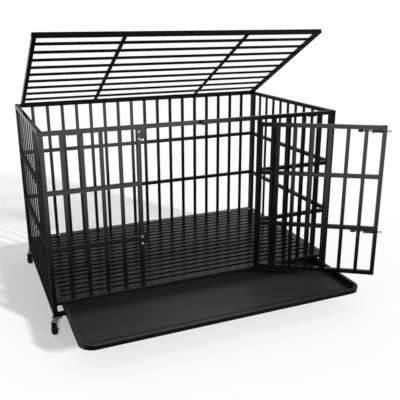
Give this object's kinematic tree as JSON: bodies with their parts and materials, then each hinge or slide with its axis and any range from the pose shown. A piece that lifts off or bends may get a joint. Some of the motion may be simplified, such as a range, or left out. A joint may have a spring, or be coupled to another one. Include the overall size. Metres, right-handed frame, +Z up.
{
  "type": "dog crate",
  "caption": "Square-tube steel dog crate on braked swivel casters, with a barred swing door, a hinged top lid, a slatted floor and a pull-out tray.",
  "frame": {"origin": "middle of the crate's plan, at the underside of the base rails, on the centre runner's underside", "axes": "+Z up, +Y to the rear of the crate, +X along the front towards the door hinge"},
  "size_m": [1.5108, 1.2696, 1.2869],
  "materials": {
    "black_powder_coat": "satin powder coat",
    "zinc_plate": "bright zinc plate",
    "black_plastic": "moulded",
    "tray_sheet": "matt moulded sheet",
    "wheel_rubber": "solid rubber tyre"
  },
  "bodies": {
    "frame": {"front_header": "black_powder_coat", "front_sill": "black_powder_coat", "front_base_rail": "black_powder_coat", "front_left_post": "black_powder_coat", "front_right_post": "black_powder_coat", "front_left_bay": "black_powder_coat", "front_right_bay": "black_powder_coat", "back_panel": "black_powder_coat", "left_panel": "black_powder_coat", "right_panel": "black_powder_coat", "floor_grid": "black_powder_coat", "floor_brackets": "black_powder_coat", "floor_bolts": "zinc_plate", "center_runner": "black_powder_coat", "door_hinge_post_knuckles": "black_powder_coat", "door_hinge_pins": "black_powder_coat", "upper_keeper": "black_powder_coat", "lower_keeper": "black_powder_coat", "keeper_bolts": "zinc_plate", "lid_hinge_rail_knuckles": "black_powder_coat", "lid_hinge_pins": "black_powder_coat", "lid_rests": "black_powder_coat", "corner_bolts": "black_powder_coat", "caster_stem_fl": "zinc_plate", "caster_stem_fr": "zinc_plate", "caster_stem_rl": "zinc_plate", "caster_stem_rr": "zinc_plate"},
    "door": {"door_panel": "black_powder_coat", "door_hinge_door_knuckles": "black_powder_coat", "upper_bolt_housing": "black_plastic", "lower_bolt_housing": "black_plastic"},
    "upper_bolt": {"upper_bolt_rod": "zinc_plate", "upper_bolt_knob": "black_plastic"},
    "lower_bolt": {"lower_bolt_rod": "zinc_plate", "lower_bolt_knob": "black_plastic"},
    "lid": {"lid_panel": "black_powder_coat", "lid_hinge_lid_knuckles": "black_powder_coat"},
    "lid_catch": {"lid_catch_pin": "zinc_plate", "lid_catch_knob": "black_plastic"},
    "tray": {"tray": "tray_sheet"},
    "fork_fl": {"caster_fork_fl": "zinc_plate", "caster_axle_fl": "zinc_plate"},
    "wheel_fl": {"caster_wheel_fl": "wheel_rubber"},
    "brake_fl": {"caster_brake_fl": "black_plastic"},
    "fork_fr": {"caster_fork_fr": "zinc_plate", "caster_axle_fr": "zinc_plate"},
    "wheel_fr": {"caster_wheel_fr": "wheel_rubber"},
    "brake_fr": {"caster_brake_fr": "black_plastic"},
    "fork_rl": {"caster_fork_rl": "zinc_plate", "caster_axle_rl": "zinc_plate"},
    "wheel_rl": {"caster_wheel_rl": "wheel_rubber"},
    "brake_rl": {"caster_brake_rl": "black_plastic"},
    "fork_rr": {"caster_fork_rr": "zinc_plate", "caster_axle_rr": "zinc_plate"},
    "wheel_rr": {"caster_wheel_rr": "wheel_rubber"},
    "brake_rr": {"caster_brake_rr": "black_plastic"}
  },
  "joints": [
    {"name": "door_hinge", "type": "hinge", "parent": "frame", "child": "door", "pos_m": [0.286, -0.437, 0.4399], "axis": [0, 0, 1], "range_deg": [-147, 28]},
    {"name": "lid_hinge", "type": "hinge", "parent": "frame", "child": "lid", "pos_m": [0, 0.407, 0.826], "axis": [-1, 0, 0], "range_deg": [-28.3, 61.7]},
    {"name": "tray_slide", "type": "slide", "parent": "frame", "child": "tray", "axis": [0, 1, 0], "range_m": [-0.04, 0.373]},
    {"name": "upper_bolt_slide", "type": "slide", "parent": "door", "child": "upper_bolt", "axis": [-0.8387, 0.5446, 0], "range_m": [0, 0.025]},
    {"name": "lower_bolt_slide", "type": "slide", "parent": "door", "child": "lower_bolt", "axis": [-0.8387, 0.5446, 0], "range_m": [0, 0.025]},
    {"name": "lid_catch_pull", "type": "slide", "parent": "frame", "child": "lid_catch", "axis": [0, -1, 0], "range_m": [0, 0.018], "stiffness_N_per_m": 300},
    {"name": "swivel_fl", "type": "hinge", "parent": "frame", "child": "fork_fl", "pos_m": [-0.706, -0.421, -0.009], "axis": [0, 0, 1], "continuous": true},
    {"name": "wheel_spin_fl", "type": "hinge", "parent": "fork_fl", "child": "wheel_fl", "pos_m": [-0.7153, -0.44094, -0.05], "axis": [0.9063, -0.4226, 0], "continuous": true},
    {"name": "brake_pedal_fl", "type": "hinge", "parent": "fork_fl", "child": "brake_fl", "pos_m": [-0.70008, -0.40831, -0.026], "axis": [-0.9063, 0.4226, 0], "range_deg": [0, 20]},
    {"name": "swivel_fr", "type": "hinge", "parent": "frame", "child": "fork_fr", "pos_m": [0.706, -0.421, -0.009], "axis": [0, 0, 1], "continuous": true},
    {"name": "wheel_spin_fr", "type": "hinge", "parent": "fork_fr", "child": "wheel_fr", "pos_m": [0.6967, -0.44094, -0.05], "axis": [0.9063, -0.4226, 0], "continuous": true},
    {"name": "brake_pedal_fr", "type": "hinge", "parent": "fork_fr", "child": "brake_fr", "pos_m": [0.71192, -0.40831, -0.026], "axis": [-0.9063, 0.4226, 0], "range_deg": [0, 20]},
    {"name": "swivel_rl", "type": "hinge", "parent": "frame", "child": "fork_rl", "pos_m": [-0.706, 0.421, -0.009], "axis": [0, 0, 1], "continuous": true},
    {"name": "wheel_spin_rl", "type": "hinge", "parent": "fork_rl", "child": "wheel_rl", "pos_m": [-0.7153, 0.40106, -0.05], "axis": [0.9063, -0.4226, 0], "continuous": true},
    {"name": "brake_pedal_rl", "type": "hinge", "parent": "fork_rl", "child": "brake_rl", "pos_m": [-0.70008, 0.43369, -0.026], "axis": [-0.9063, 0.4226, 0], "range_deg": [0, 20]},
    {"name": "swivel_rr", "type": "hinge", "parent": "frame", "child": "fork_rr", "pos_m": [0.706, 0.421, -0.009], "axis": [0, 0, 1], "continuous": true},
    {"name": "wheel_spin_rr", "type": "hinge", "parent": "fork_rr", "child": "wheel_rr", "pos_m": [0.6967, 0.40106, -0.05], "axis": [0.9063, -0.4226, 0], "continuous": true},
    {"name": "brake_pedal_rr", "type": "hinge", "parent": "fork_rr", "child": "brake_rr", "pos_m": [0.71192, 0.43369, -0.026], "axis": [-0.9063, 0.4226, 0], "range_deg": [0, 20]}
  ]
}
